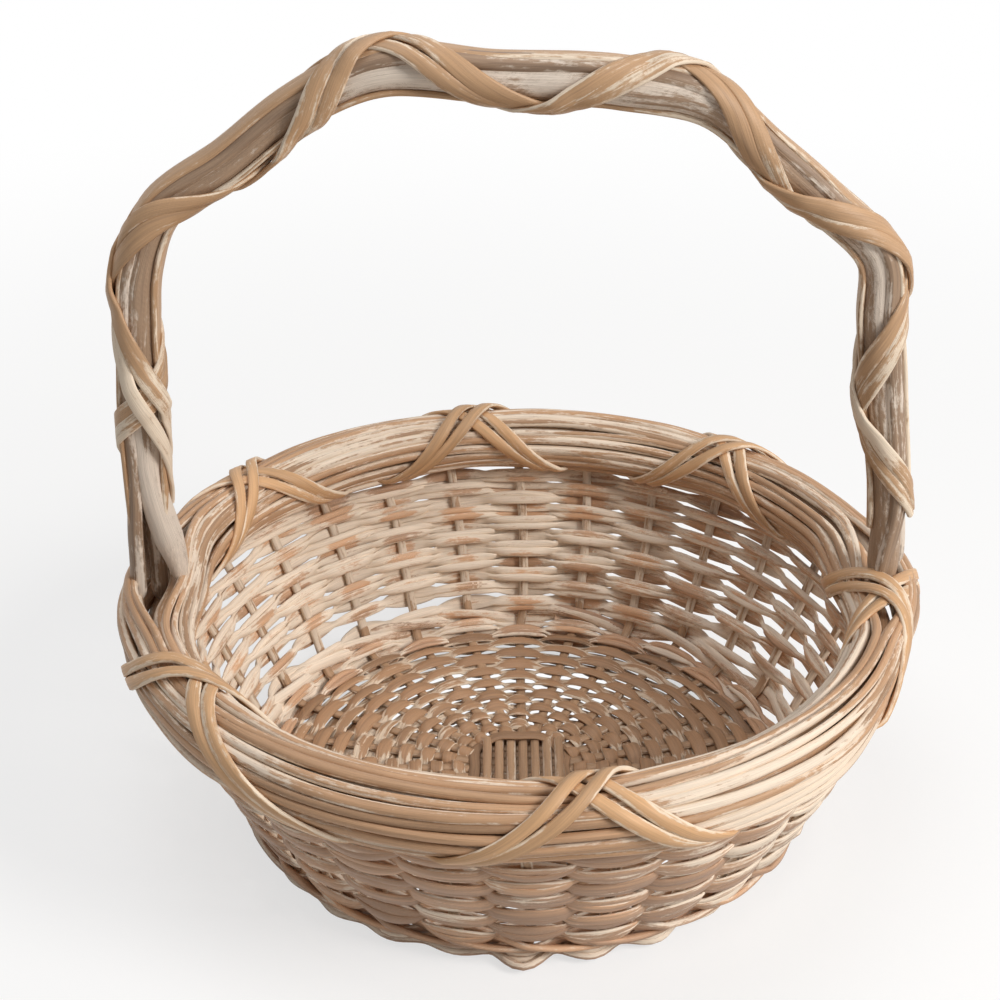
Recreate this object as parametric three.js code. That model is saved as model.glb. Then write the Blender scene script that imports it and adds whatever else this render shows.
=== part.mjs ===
// Round willow gathering basket with one fixed bow handle.
// Millimetres, +Z up. The origin is the middle of the underside, and the handle spans X.
import * as THREE from "three";

// Driving sizes of the bowl
const baseRadius = 120;
const cornerRadius = 14;
const footRingHeight = 5.2;
const footRingWidth = 8;
const rimRadius = 165;
const rimHeight = 102;
const rimBundleRadius = 16;
const rimRodsEachSide = 4;

// Driving sizes of the rods that the bowl is woven from
const sticksEachWay = 7;
const stickWidth = 4.4;
const stickThickness = 3;
const slathPitch = 5.8;
const weaverThickness = 4.5;
const sideRowCount = 11;
const rowGap = 0.6;
const baseBandCount = 4;
const baseBandThickness = 1.8;

// Driving sizes of the split-willow lashings that cross on the rim
const lashingAngles = {
  front: 276.5,
  right: 353,
  back_right: 49,
  back: 99,
  left_back: 146,
  left_front: 210.5,
};
const lashingWidth = 11;
const lashingThickness = 2.4;
const lashingSpanDegrees = 16.5;
const lashingHookDegrees = 45;

// Driving sizes of the handle
const handleRise = 232;
const handleBundleRadius = 9;
const lathThickness = 2.7;
const tongueThickness = 3;
const tongueWidth = 13;
const tongueDepth = 19;
const taperLength = 14;
const wrapPitch = 150;
const wrapRodWidth = 7.8;
const wrapRodThickness = 2.2;
const wrapRodGap = 0.6;

// Clearance between pieces that touch on the real basket
const seatGap = 0.35;

// Fineness of the faceted surfaces
const rimSteps = 36;
const rimRodSides = 6;
const cornerSteps = 4;
const lashingSteps = 12;
const wrapStepsPerTurn = 16;

const finishes = {
  stake: { color: 0xb9a48c, roughness: 0.75, metalness: 0 },
  weave: { color: 0xc9ab8a, roughness: 0.7, metalness: 0 },
  base: { color: 0xa98463, roughness: 0.7, metalness: 0 },
  rim: { color: 0xcfae8b, roughness: 0.65, metalness: 0 },
  lashing: { color: 0xb98552, roughness: 0.5, metalness: 0 },
  handle: { color: 0xb7a691, roughness: 0.7, metalness: 0 },
};

const basket = new THREE.Group();
const radians = THREE.MathUtils.degToRad;
const up = new THREE.Vector3(0, 0, 1);

// The surface of a sweep through section rings of equal point counts, closed round or capped at both ends.
// Each facet is split along its shorter diagonal, which keeps a wound rod clear of what it winds on.
function sweptGeometry(sections, closed) {
  const sides = sections[0].length;
  const points = sections.flat();
  const positions = points.flatMap((point) => [point.x, point.y, point.z]);
  const indices = [];
  const spans = closed ? sections.length : sections.length - 1;
  for (let i = 0; i < spans; i += 1) {
    const here = i * sides;
    const next = ((i + 1) % sections.length) * sides;
    for (let k = 0; k < sides; k += 1) {
      const facet = [here + k, here + ((k + 1) % sides), next + ((k + 1) % sides), next + k];
      const [a, b, c, d] = facet.map((index) => points[index]);
      const turned = b.distanceTo(d) < a.distanceTo(c) ? [...facet.slice(1), facet[0]] : facet;
      indices.push(turned[0], turned[1], turned[2]);
      indices.push(turned[0], turned[2], turned[3]);
    }
  }
  if (!closed) {
    const last = (sections.length - 1) * sides;
    for (let k = 1; k < sides - 1; k += 1) {
      indices.push(0, k + 1, k);
      indices.push(last, last + k, last + k + 1);
    }
  }
  if (enclosedVolume(positions, indices) < 0) indices.reverse();
  const geometry = new THREE.BufferGeometry();
  geometry.setAttribute("position", new THREE.Float32BufferAttribute(positions, 3));
  geometry.setIndex(indices);
  geometry.computeVertexNormals();
  return geometry;
}

function enclosedVolume(positions, indices) {
  const corner = (index) => new THREE.Vector3().fromArray(positions, index * 3);
  let sum = 0;
  for (let i = 0; i < indices.length; i += 3) {
    const [a, b, c] = indices.slice(i, i + 3).map(corner);
    sum += a.dot(b.cross(c)) / 6;
  }
  return sum;
}

function addPiece(name, geometry, finish) {
  const piece = new THREE.Mesh(geometry, new THREE.MeshStandardMaterial(finishes[finish]));
  piece.name = name;
  basket.add(piece);
}

// A point at an angle round the basket, so far out and so high
function around(angle, radius, height) {
  return new THREE.Vector3(radius * Math.cos(angle), radius * Math.sin(angle), height);
}

// Four corners of a flat rod, half its size each way along two directions
function flatSection(centre, across, halfAcross, through, halfThrough) {
  const corner = (a, t) =>
    centre.clone().addScaledVector(across, a * halfAcross).addScaledVector(through, t * halfThrough);
  return [corner(-1, -1), corner(1, -1), corner(1, 1), corner(-1, 1)];
}

// The line that the stakes follow: flat base, round corner, then a straight lean up to the rim
const stickLevel = footRingHeight + seatGap + stickThickness / 2;
const rimUnderside = rimHeight - rimBundleRadius - seatGap;
const cornerHeight = stickLevel + cornerRadius;
const toRim = new THREE.Vector2(rimRadius - baseRadius, rimUnderside - cornerHeight);
const cornerTurn = toRim.angle() + Math.asin(cornerRadius / toRim.length());
const cornerLength = cornerRadius * cornerTurn;
const wallLength = Math.sqrt(toRim.lengthSq() - cornerRadius ** 2);

function wallAt(length) {
  const turn = Math.min(length / cornerRadius, cornerTurn);
  const along = new THREE.Vector2(Math.cos(turn), Math.sin(turn));
  const out = new THREE.Vector2(along.y, -along.x);
  const point = new THREE.Vector2(baseRadius, cornerHeight).addScaledVector(out, cornerRadius);
  point.addScaledVector(along, Math.max(length - cornerLength, 0));
  return { point, along, out };
}

// Sticks: seven each way cross in the middle, fan out, turn up at the corner and end inside the rim
const stakeCount = 4 * sticksEachWay;
const stakePitch = (2 * Math.PI) / stakeCount;
const slathHalf = (sticksEachWay * slathPitch) / 2;
const layerOffset = (stickThickness + seatGap) / 2;
const fanRun = 14;
const fanRadius = slathHalf + fanRun;
const tipHeight = rimHeight + rimBundleRadius - tongueDepth - seatGap;

function stickHalf(angle) {
  const direction = new THREE.Vector2(Math.cos(angle), Math.sin(angle));
  const sections = [];
  const place = (radius, height, alongOut) => {
    const centre = new THREE.Vector3(direction.x * radius, direction.y * radius, height);
    const tangent = new THREE.Vector3(direction.x * alongOut.x, direction.y * alongOut.x, alongOut.y);
    const across = new THREE.Vector3(-direction.y, direction.x, 0);
    const through = new THREE.Vector3().crossVectors(tangent, across);
    sections.push(flatSection(centre, across, stickWidth / 2, through, stickThickness / 2));
  };
  const flat = new THREE.Vector2(1, 0);
  place(fanRadius, stickLevel, flat);
  place(baseRadius, stickLevel, flat);
  for (let k = 1; k <= cornerSteps; k += 1) {
    const { point, along } = wallAt((cornerLength * k) / cornerSteps);
    place(point.x, point.y, along);
  }
  const bend = wallAt(cornerLength + wallLength);
  const upright = new THREE.Vector2(0, 1);
  place(bend.point.x, bend.point.y, bend.along.clone().add(upright).normalize());
  place(rimRadius, tipHeight, upright);
  return sections;
}

function slathSection(alongX, offset, reach, level) {
  const across = alongX ? new THREE.Vector3(0, 1, 0) : new THREE.Vector3(-1, 0, 0);
  const centre = alongX
    ? new THREE.Vector3(reach, offset, level)
    : new THREE.Vector3(offset, reach, level);
  return flatSection(centre, across, stickWidth / 2, up, stickThickness / 2);
}

function addStick(name, alongX, index) {
  const offset = index * slathPitch;
  const level = stickLevel + (alongX ? -layerOffset : layerOffset);
  const base = alongX ? 0 : Math.PI / 2;
  const fan = alongX ? index * stakePitch : -index * stakePitch;
  const farHalf = stickHalf(base + fan);
  const nearHalf = stickHalf(base + Math.PI - fan).map(([a, b, c, d]) => [b, a, d, c]).reverse();
  const middle = [-slathHalf, slathHalf].map((reach) => slathSection(alongX, offset, reach, level));
  addPiece(name, sweptGeometry([...nearHalf, ...middle, ...farHalf], false), "stake");
}

for (let k = 0; k < sticksEachWay; k += 1) {
  addStick(`crosswise_stick_${k + 1}`, true, k - (sticksEachWay - 1) / 2);
}
for (let k = 0; k < sticksEachWay; k += 1) {
  addStick(`lengthwise_stick_${k + 1}`, false, k - (sticksEachWay - 1) / 2);
}

// A weaver that passes over one stake and under the next, flat for a little past each stake's edges
function wovenRing(stateAt, phase) {
  const sections = [];
  for (let k = 0; k < stakeCount; k += 1) {
    const swing = (k + phase) % 2 === 0 ? 1 : -1;
    for (const side of [-1, 1]) sections.push(stateAt(k * stakePitch, side, swing));
  }
  return sweptGeometry(sections, true);
}

// Base: bands of fine flat splints, woven over and under the spokes
const baseSwing = stickThickness / 2 + seatGap + baseBandThickness / 2;
const bandInner = fanRadius + stickWidth / 2;
const bandOuter = baseRadius - stickWidth;
const bandPitch = (bandOuter - bandInner) / baseBandCount;
for (let band = 0; band < baseBandCount; band += 1) {
  const radius = bandInner + (band + 0.5) * bandPitch;
  const flat = (stickWidth * 0.75) / radius;
  const stateAt = (angle, side, swing) => {
    const here = angle + side * flat;
    const centre = around(here, radius, stickLevel + swing * baseSwing);
    return flatSection(centre, around(here, 1, 0), (bandPitch - rowGap) / 2, up, baseBandThickness / 2);
  };
  addPiece(`base_band_${band + 1}`, wovenRing(stateAt, band), "base");
}

// Foot: the first round under the turned-up sticks, with a flat underside that the basket stands on
const footRadius = baseRadius + footRingWidth / 2;
const footSwing = footRingWidth / 8;

function footSection(angle, side, swing) {
  const here = angle + (side * stakePitch) / 6;
  const centre = around(here, footRadius + swing * footSwing, footRingHeight / 2);
  return flatSection(centre, around(here, 1, 0), footRingWidth / 2, up, footRingHeight / 2);
}

addPiece("foot_ring", wovenRing(footSection, 0), "weave");

// Side rows: one round low on the corner, then even rows up to the underside of the rim
const weaveSwing = stickThickness / 2 + seatGap + weaverThickness / 2;
const weaveReach = weaveSwing + weaverThickness / 2;
const rowsLength = wallLength - weaveReach * Math.cos(cornerTurn) - seatGap;
const rowPitch = rowsLength / sideRowCount;
const rowHeight = rowPitch - rowGap;

function addSideRow(name, length, swingSize, phase) {
  const { point, along, out } = wallAt(length);
  const flat = (stickWidth * 0.75) / point.x;
  const stateAt = (angle, side, swing) => {
    const here = angle + side * flat;
    const upWall = around(here, along.x, along.y);
    const outward = around(here, out.x, out.y);
    const centre = around(here, point.x, point.y).addScaledVector(outward, swing * swingSize);
    return flatSection(centre, upWall, rowHeight / 2, outward, weaverThickness / 2);
  };
  addPiece(name, wovenRing(stateAt, phase), "weave");
}

const cornerRowPlace = 0.7;
const cornerSag = cornerRadius * (1 - Math.cos(cornerTurn / cornerSteps / 2));
const cornerHollow = rowHeight ** 2 / 8 / (cornerRadius - stickThickness / 2);
addSideRow("corner_row", cornerLength * cornerRowPlace, weaveSwing + cornerSag + cornerHollow, 1);
for (let row = 0; row < sideRowCount; row += 1) {
  const name = `side_row_${String(row + 1).padStart(2, "0")}`;
  addSideRow(name, cornerLength + (row + 0.5) * rowPitch, weaveSwing, row);
}

// Rim: long rods laid round in two halves, with the stakes and the handle's tongues between them
const rimSag = rimRadius * (1 - Math.cos(Math.PI / rimSteps));
const tongueSag = rimRadius - Math.sqrt(rimRadius ** 2 - (tongueWidth / 2) ** 2);
const slotHalf = Math.max(tongueThickness, stickThickness) / 2 + seatGap + tongueSag + rimSag;

// The thickest rod that fits: so many touch side by side round half the bundle and leave the slot free
function rimRodLayout() {
  let low = 0;
  let high = rimBundleRadius / 2;
  for (let k = 0; k < 40; k += 1) {
    const radius = (low + high) / 2;
    const ring = rimBundleRadius - radius;
    const first = Math.acos(Math.min((slotHalf + radius) / ring, 1));
    const step = (2 * first) / (rimRodsEachSide - 1);
    const fits = slotHalf + radius < ring && 2 * ring * Math.sin(step / 2) > 2 * radius + seatGap;
    if (fits) low = radius;
    else high = radius;
  }
  const ring = rimBundleRadius - low;
  const first = Math.acos((slotHalf + low) / ring);
  return { radius: low, ring, first, step: (2 * first) / (rimRodsEachSide - 1) };
}

const rimRod = rimRodLayout();

function addRimRod(name, bundleAngle) {
  const sections = [];
  for (let k = 0; k < rimSteps; k += 1) {
    const angle = (2 * Math.PI * k) / rimSteps;
    const ring = [];
    for (let side = 0; side < rimRodSides; side += 1) {
      const turn = bundleAngle + (2 * Math.PI * side) / rimRodSides;
      const out = rimRod.ring * Math.cos(bundleAngle) + rimRod.radius * Math.cos(turn);
      const up = rimRod.ring * Math.sin(bundleAngle) + rimRod.radius * Math.sin(turn);
      ring.push(around(angle, rimRadius + out, rimHeight + up));
    }
    sections.push(ring);
  }
  addPiece(name, sweptGeometry(sections, true), "rim");
}

for (let k = 0; k < rimRodsEachSide; k += 1) {
  const bundleAngle = rimRod.first - k * rimRod.step;
  addRimRod(`rim_rod_outer_${k + 1}`, bundleAngle);
  addRimRod(`rim_rod_inner_${k + 1}`, Math.PI - bundleAngle);
}

// Lashings: at each place one strap goes over the rim from outside to inside, the other back across under it
const hook = radians(lashingHookDegrees);
const lashingTurn = Math.PI + 2 * hook;
const lashingStepSag = (radius) => radius * (1 / Math.cos(lashingTurn / lashingSteps / 2) - 1);
const lashingSag = (lashingWidth ** 2 / 8) * (1 / (rimRadius - rimBundleRadius) + 1 / rimRadius);
const lashingClear = seatGap + rimSag + lashingSag + lashingStepSag(rimBundleRadius);
const lashingRadius = rimBundleRadius + lashingClear + lashingThickness / 2;
const lashingEdgeRise = lashingWidth ** 2 / 8 / lashingRadius;
const crossingLift = lashingThickness + seatGap + lashingStepSag(lashingRadius) + lashingEdgeRise;
const crossingReach = radians(40);

function addLashing(name, centreAngle, direction, lift) {
  const spread = (direction * radians(lashingSpanDegrees)) / (lashingTurn / 2);
  const place = (turn) => {
    const raised = Math.abs(turn - Math.PI / 2) < crossingReach ? lift : 0;
    const radius = lashingRadius + raised;
    const angle = centreAngle + spread * (turn - Math.PI / 2);
    return around(angle, rimRadius + radius * Math.cos(turn), rimHeight + radius * Math.sin(turn));
  };
  const sections = [];
  for (let k = 0; k <= lashingSteps; k += 1) {
    const turn = -hook + (lashingTurn * k) / lashingSteps;
    const centre = place(turn);
    const angle = centreAngle + spread * (turn - Math.PI / 2);
    const through = around(angle, Math.cos(turn), Math.sin(turn));
    const ahead = new THREE.Vector3().subVectors(place(turn + hook / 90), place(turn - hook / 90));
    const across = new THREE.Vector3().crossVectors(ahead, through).normalize();
    sections.push(flatSection(centre, across, lashingWidth / 2, through, lashingThickness / 2));
  }
  addPiece(name, sweptGeometry(sections, false), "lashing");
}

for (const [place, angle] of Object.entries(lashingAngles)) {
  addLashing(`lashing_over_${place}`, radians(angle), 1, crossingLift);
  addLashing(`lashing_under_${place}`, radians(angle), -1, 0);
}

// Handle: the line of its middle, given from each foot up the legs and from the top down the shoulders
const rimTop = rimHeight + rimBundleRadius;
const handleTop = rimTop + handleRise;
const foot = rimTop - tongueDepth;
const archPoints = [
  [-rimRadius, foot],
  [-rimRadius, rimTop + 2],
  [-rimRadius - 2, rimTop + 26],
  [-rimRadius - 3, rimTop + 66],
  [-rimRadius - 1, handleTop - 112],
  [-rimRadius + 4, handleTop - 86],
  [-rimRadius + 17, handleTop - 62],
  [-120, handleTop - 41],
  [-90, handleTop - 18],
  [-57, handleTop],
  [-12, handleTop - 5],
  [39, handleTop - 7],
  [75, handleTop - 12],
  [99, handleTop - 36],
  [rimRadius - 43, handleTop - 58],
  [rimRadius - 18, handleTop - 82],
  [rimRadius - 11, handleTop - 108],
  [rimRadius - 6, rimTop + 84],
  [rimRadius - 2, rimTop + 44],
  [rimRadius, rimTop + 12],
  [rimRadius, foot],
].map(([x, z]) => new THREE.Vector3(x, 0, z));
const arch = new THREE.CatmullRomCurve3(archPoints, false, "centripetal");
arch.arcLengthDivisions = 800;
const archLength = arch.getLength();
const archSteps = Math.round((archLength / wrapPitch) * wrapStepsPerTurn);

// The same stations serve every piece of the handle, so that their facets line up
function stationsBetween(start, end) {
  const stations = [];
  for (let k = 0; k <= archSteps; k += 1) {
    const length = (archLength * k) / archSteps;
    if (length >= start && length <= end) stations.push(length);
  }
  return stations;
}

function archFrame(length) {
  const share = Math.min(Math.max(length / archLength, 0), 1);
  const point = arch.getPointAt(share);
  const along = arch.getTangentAt(share);
  const out = new THREE.Vector3(-along.z, 0, along.x);
  return { point, out, side: new THREE.Vector3(0, 1, 0) };
}

// A point off the arch, at an angle from outward round towards +Y
function offArch(length, angle, radius) {
  const { point, out, side } = archFrame(length);
  return point.addScaledVector(out, radius * Math.cos(angle)).addScaledVector(side, radius * Math.sin(angle));
}

// Bow: one thick stick, shaved flat on its outer side for the lath and to a tongue at each foot
const bowFlat = handleBundleRadius - lathThickness - seatGap;
const flatAngle = Math.acos(bowFlat / handleBundleRadius);
const bowSides = 8;

function bowSection(length) {
  const fromEnd = Math.min(length, archLength - length);
  const grown = THREE.MathUtils.smoothstep(fromEnd, tongueDepth, tongueDepth + taperLength);
  const { point, out, side } = archFrame(length);
  const section = [];
  for (let k = 0; k < bowSides; k += 1) {
    const angle = flatAngle + ((2 * Math.PI - 2 * flatAngle) * k) / (bowSides - 1);
    const square = (value) => Math.sign(value) * Math.min(Math.abs(value) * 1.5, 1);
    const outFull = handleBundleRadius * Math.cos(angle);
    const sideFull = handleBundleRadius * Math.sin(angle);
    const outThin = (tongueThickness / 2) * square(Math.cos(angle));
    const sideThin = (tongueWidth / 2) * square(Math.sin(angle));
    section.push(point.clone()
      .addScaledVector(out, THREE.MathUtils.lerp(outThin, outFull, grown))
      .addScaledVector(side, THREE.MathUtils.lerp(sideThin, sideFull, grown)));
  }
  return section;
}

addPiece("handle_bow", sweptGeometry(stationsBetween(0, archLength).map(bowSection), false), "handle");

// Lath: a flat split rod along the outside of the bow, held down by the wrapping
const lathStart = tongueDepth + taperLength + lathThickness;
const lathLow = bowFlat + seatGap;
const lathHalf = Math.sqrt(handleBundleRadius ** 2 - lathLow ** 2);
const lathCrown = Math.asin(lathHalf / handleBundleRadius) * 0.4;

function lathSection(length) {
  const { point, out, side } = archFrame(length);
  return [
    [lathLow, -lathHalf],
    [lathLow, lathHalf],
    [handleBundleRadius * Math.cos(lathCrown), handleBundleRadius * Math.sin(lathCrown)],
    [handleBundleRadius * Math.cos(lathCrown), -handleBundleRadius * Math.sin(lathCrown)],
  ].map(([u, v]) => point.clone().addScaledVector(out, u).addScaledVector(side, v));
}

const lathStations = stationsBetween(lathStart, archLength - lathStart);
addPiece("handle_lath", sweptGeometry(lathStations.map(lathSection), false), "lashing");

// Wrapping: two pairs of split rods wound round the bow opposite ways, the second pair over the first
const wrapStart = tongueDepth + taperLength;
const wrapStepAngle = (2 * Math.PI) / wrapStepsPerTurn;
const wrapHalfAngle = wrapRodWidth / 2 / (handleBundleRadius + wrapRodThickness);
const wrapSpacing = 2 * wrapHalfAngle + wrapRodGap / handleBundleRadius;
const wrapSag = 1 / Math.cos(wrapStepAngle / 2) / Math.cos(wrapHalfAngle);
const wrapInner = (handleBundleRadius + seatGap) * wrapSag;
const wrapLift = (wrapInner + wrapRodThickness + seatGap) * wrapSag - wrapInner;
const frontCrossing = radians(-50);
const crossingPlace = 352;

function wrapAngle(length, hand) {
  const turning = Math.min(Math.max(length, wrapStart + wrapRodWidth), archLength - wrapStart - wrapRodWidth);
  return frontCrossing + (hand * 2 * Math.PI * (turning - crossingPlace)) / wrapPitch;
}

// How far round the handle the second pair is from the nearest crossing with the first
function fromCrossing(length) {
  const apart = (wrapAngle(length, 1) - wrapAngle(length, -1)) / (2 * Math.PI);
  return Math.abs(apart - Math.round(apart)) * 2 * Math.PI;
}

function wrapSections(hand, strand) {
  const liftedWithin = 4 * wrapHalfAngle + wrapSpacing + wrapStepAngle;
  return stationsBetween(wrapStart, archLength - wrapStart).map((length) => {
    const middle = wrapAngle(length, hand) + (strand - 0.5) * wrapSpacing;
    const lifted = hand > 0 && fromCrossing(length) < liftedWithin;
    const inner = wrapInner + (lifted ? wrapLift : 0);
    const outer = inner + wrapRodThickness;
    return [
      offArch(length, middle - wrapHalfAngle, inner),
      offArch(length, middle + wrapHalfAngle, inner),
      offArch(length, middle + wrapHalfAngle, outer),
      offArch(length, middle - wrapHalfAngle, outer),
    ];
  });
}

// The least distance between points of one wrapping rod that lie more than half a turn apart along it
function leastGapToItself(sections) {
  let least = Infinity;
  const apart = wrapStepsPerTurn / 2;
  for (let i = 0; i < sections.length; i += 1) {
    for (let j = i + apart; j < sections.length; j += 1) {
      for (const a of sections[i]) for (const b of sections[j]) least = Math.min(least, a.distanceTo(b));
    }
  }
  return least;
}

for (const [layer, hand] of [["first", -1], ["second", 1]]) {
  for (const strand of [0, 1]) {
    const name = `handle_wrap_${layer}_${strand + 1}`;
    const sections = wrapSections(hand, strand);
    addPiece(name, sweptGeometry(sections, false), "lashing");
    console.log(`${name}: least gap to itself ${leastGapToItself(sections).toFixed(1)} mm`);
  }
}

export default basket;
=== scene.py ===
"""Looks of the whitewashed willow gathering basket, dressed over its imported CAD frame. Metres, +Z up."""

import math

import bpy
import numpy as np
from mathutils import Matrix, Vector


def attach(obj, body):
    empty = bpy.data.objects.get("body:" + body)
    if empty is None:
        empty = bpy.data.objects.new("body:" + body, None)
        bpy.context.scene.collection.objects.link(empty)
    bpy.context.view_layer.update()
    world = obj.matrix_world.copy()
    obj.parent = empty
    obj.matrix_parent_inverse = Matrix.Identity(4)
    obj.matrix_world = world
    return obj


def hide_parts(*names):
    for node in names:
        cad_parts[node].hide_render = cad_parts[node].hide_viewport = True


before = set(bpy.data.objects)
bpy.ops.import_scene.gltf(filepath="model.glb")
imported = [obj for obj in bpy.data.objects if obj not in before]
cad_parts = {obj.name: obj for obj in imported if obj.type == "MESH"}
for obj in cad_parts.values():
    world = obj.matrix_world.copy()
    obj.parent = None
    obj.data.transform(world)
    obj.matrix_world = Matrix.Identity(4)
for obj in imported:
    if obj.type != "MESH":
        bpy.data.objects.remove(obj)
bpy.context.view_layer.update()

# Studio: a plain pale floor under soft light, with the main lamp on the right and a wide one above.
# Floor and world are white to the camera only, so that they add no light to the basket. The floor keeps
# the basket's shadow, fades to plain white farther out, and is white behind the holes of the base.
CAMERA_PLACE = (-0.0095, -0.7704, 0.5696)
CAMERA_AIM = (-0.0095, 0.0, 0.1538)
CAMERA_LENS = 70.52
LAMP_AIM = (0.0, 0.0, 0.12)
WHITE = (1.0, 1.0, 1.0, 1.0)
SKY_STRENGTH = 0.26
FLOOR_REACH = 6.0
FLOOR_COLOUR = (0.70, 0.69, 0.67, 1.0)
FLOOR_WHITENESS = 0.66
FLOOR_FADE = (0.3, 1.1)
UNDER_BASE = (0.095, 0.12)


def add_node(tree, kind, inputs=None, **settings):
    """A node with its settings, and each input set to a value or joined to another node's output."""
    node = tree.nodes.new(kind)
    for name, value in settings.items():
        setattr(node, name, value)
    for name, value in (inputs or {}).items():
        if isinstance(value, bpy.types.NodeSocket):
            tree.links.new(value, node.inputs[name])
        else:
            node.inputs[name].default_value = value
    return node


def number_node(tree, operation, *numbers):
    """The result of a Math node on these numbers."""
    return add_node(tree, "ShaderNodeMath", dict(enumerate(numbers)), operation=operation).outputs[0]


def smooth_range(tree, amount, low, high, start=0.0, end=1.0):
    """An amount's place between low and high, eased at both ends, as a number from start to end."""
    return add_node(tree, "ShaderNodeMapRange", {0: amount, 1: low, 2: high, 3: start, 4: end},
                    interpolation_type="SMOOTHSTEP").outputs[0]


def seen_directly(tree):
    """1 on rays that show a surface to the camera straight, in a mirror or through glass, else 0."""
    ray = add_node(tree, "ShaderNodeLightPath").outputs
    shown = number_node(tree, "MAXIMUM", ray["Is Camera Ray"], ray["Is Glossy Ray"])
    return number_node(tree, "MAXIMUM", shown, ray["Is Transmission Ray"])


def empty_finish(name):
    """A material whose node tree is still empty."""
    finish = bpy.data.materials.new(name)
    finish.use_nodes = True
    finish.node_tree.nodes.clear()
    return finish


def add_object(name, data):
    thing = bpy.data.objects.new(name, data)
    bpy.context.scene.collection.objects.link(thing)
    return thing


def aim(thing, place, target):
    thing.location = place
    thing.rotation_euler = (Vector(target) - Vector(place)).to_track_quat("-Z", "Y").to_euler()


camera = add_object("camera", bpy.data.cameras.new("camera"))
camera.data.sensor_width = 36.0
camera.data.lens = CAMERA_LENS
camera.data.clip_start = 0.01
aim(camera, CAMERA_PLACE, CAMERA_AIM)
bpy.context.scene.camera = camera
bpy.context.scene.view_settings.view_transform = "Standard"

for name, place, size, power, colour in [
    ("key_lamp", (1.58, -0.96, 1.37), 0.9, 37.0, (1.0, 0.97, 0.93)),
    ("top_lamp", (-0.35, 0.15, 2.25), 1.7, 16.0, (0.98, 0.985, 1.0)),
]:
    lamp = add_object(name, bpy.data.lights.new(name, "AREA"))
    lamp.data.shape = "DISK"
    lamp.data.size = size
    lamp.data.energy = power
    lamp.data.color = colour
    aim(lamp, place, LAMP_AIM)

world = bpy.data.worlds.new("studio")
bpy.context.scene.world = world
world.use_nodes = True
sky = world.node_tree
sky.nodes.clear()
dim = add_node(sky, "ShaderNodeBackground", {"Color": (1.0, 0.985, 0.97, 1.0), "Strength": SKY_STRENGTH})
white = add_node(sky, "ShaderNodeBackground", {"Color": WHITE, "Strength": 1.0})
both = add_node(sky, "ShaderNodeMixShader", {0: seen_directly(sky), 1: dim.outputs[0], 2: white.outputs[0]})
add_node(sky, "ShaderNodeOutputWorld", {"Surface": both.outputs[0]})

floor_corners = [(x * FLOOR_REACH, y * FLOOR_REACH, 0.0) for x, y in [(-1, -1), (1, -1), (1, 1), (-1, 1)]]
floor_mesh = bpy.data.meshes.new("floor")
floor_mesh.from_pydata(floor_corners, [], [(0, 1, 2, 3)])
floor = add_object("floor", floor_mesh)
floor_finish = empty_finish("pale_floor")
tree = floor_finish.node_tree
matt = add_node(tree, "ShaderNodeBsdfDiffuse", {"Color": FLOOR_COLOUR})
pale = add_node(tree, "ShaderNodeBsdfDiffuse", {"Color": (0.95, 0.95, 0.95, 1.0)})
glow = add_node(tree, "ShaderNodeEmission", {"Color": WHITE, "Strength": 1.0})
spot = add_node(tree, "ShaderNodeTexCoord").outputs["Object"]
away = add_node(tree, "ShaderNodeVectorMath", {0: spot}, operation="LENGTH").outputs["Value"]
faded = smooth_range(tree, away, *FLOOR_FADE, FLOOR_WHITENESS, 1.0)
under = smooth_range(tree, away, *UNDER_BASE, 1.0, 0.0)
whiteness = number_node(tree, "MAXIMUM", faded, under)
seen = add_node(tree, "ShaderNodeMixShader", {0: whiteness, 1: pale.outputs[0], 2: glow.outputs[0]})
both = add_node(tree, "ShaderNodeMixShader", {0: seen_directly(tree), 1: matt.outputs[0], 2: seen.outputs[0]})
add_node(tree, "ShaderNodeOutputMaterial", {"Surface": both.outputs[0]})
floor.data.materials.append(floor_finish)

# Base sticks: seven flat willow sticks each way cross in the middle of the base and fan out like spokes.
# Each turns up at the corner, so that its two ends stand in the wall as stakes and end inside the rim.
BASE_RADIUS = 0.120
CORNER_RADIUS = 0.014
RIM_RADIUS = 0.165
RIM_HEIGHT = 0.102
BUNDLE_RADIUS = 0.016
CLEARANCE = 0.00035
STAKE_COUNT = 28
STAKE_PITCH = 2 * math.pi / STAKE_COUNT
STICK_HALF_WIDTH = 0.0024
STICK_HALF_THICKNESS = 0.0016
STICK_TIP = (0.012, 0.6)
STICK_LEVEL = 0.00705
LAYER_OFFSET = 0.001675
SLATH_PITCH = 0.0058
SLATH_HALF = 7 * SLATH_PITCH / 2
SLATH_EDGE = 0.045
SLATH_FADE = 0.020
FAN_RADIUS = SLATH_HALF + 0.014
BASE_TOP = 0.012
BASE_FADE = 0.003
BEND_GAP = 0.002
WALL_START = 0.020
WALL_TOP = RIM_HEIGHT - BUNDLE_RADIUS - CLEARANCE
TIP_BEND = 0.006
TIP_HEIGHT = 0.09865
SPOKE_WEAR = 0.95
STAKE_WEAR = 0.35
BOWL_SWAY = 0.003
SIDEWAYS = np.array([1.0, 0.0, 0.0])
ROD_NUMBERS = 90

corner_height = STICK_LEVEL + CORNER_RADIUS
lean = math.atan2(WALL_TOP - corner_height, RIM_RADIUS - BASE_RADIUS)
lean_run = math.hypot(RIM_RADIUS - BASE_RADIUS, WALL_TOP - corner_height)
corner_turn = lean + math.asin(CORNER_RADIUS / lean_run)
corner_length = CORNER_RADIUS * corner_turn
wall_length = math.sqrt(lean_run ** 2 - CORNER_RADIUS ** 2)


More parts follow.
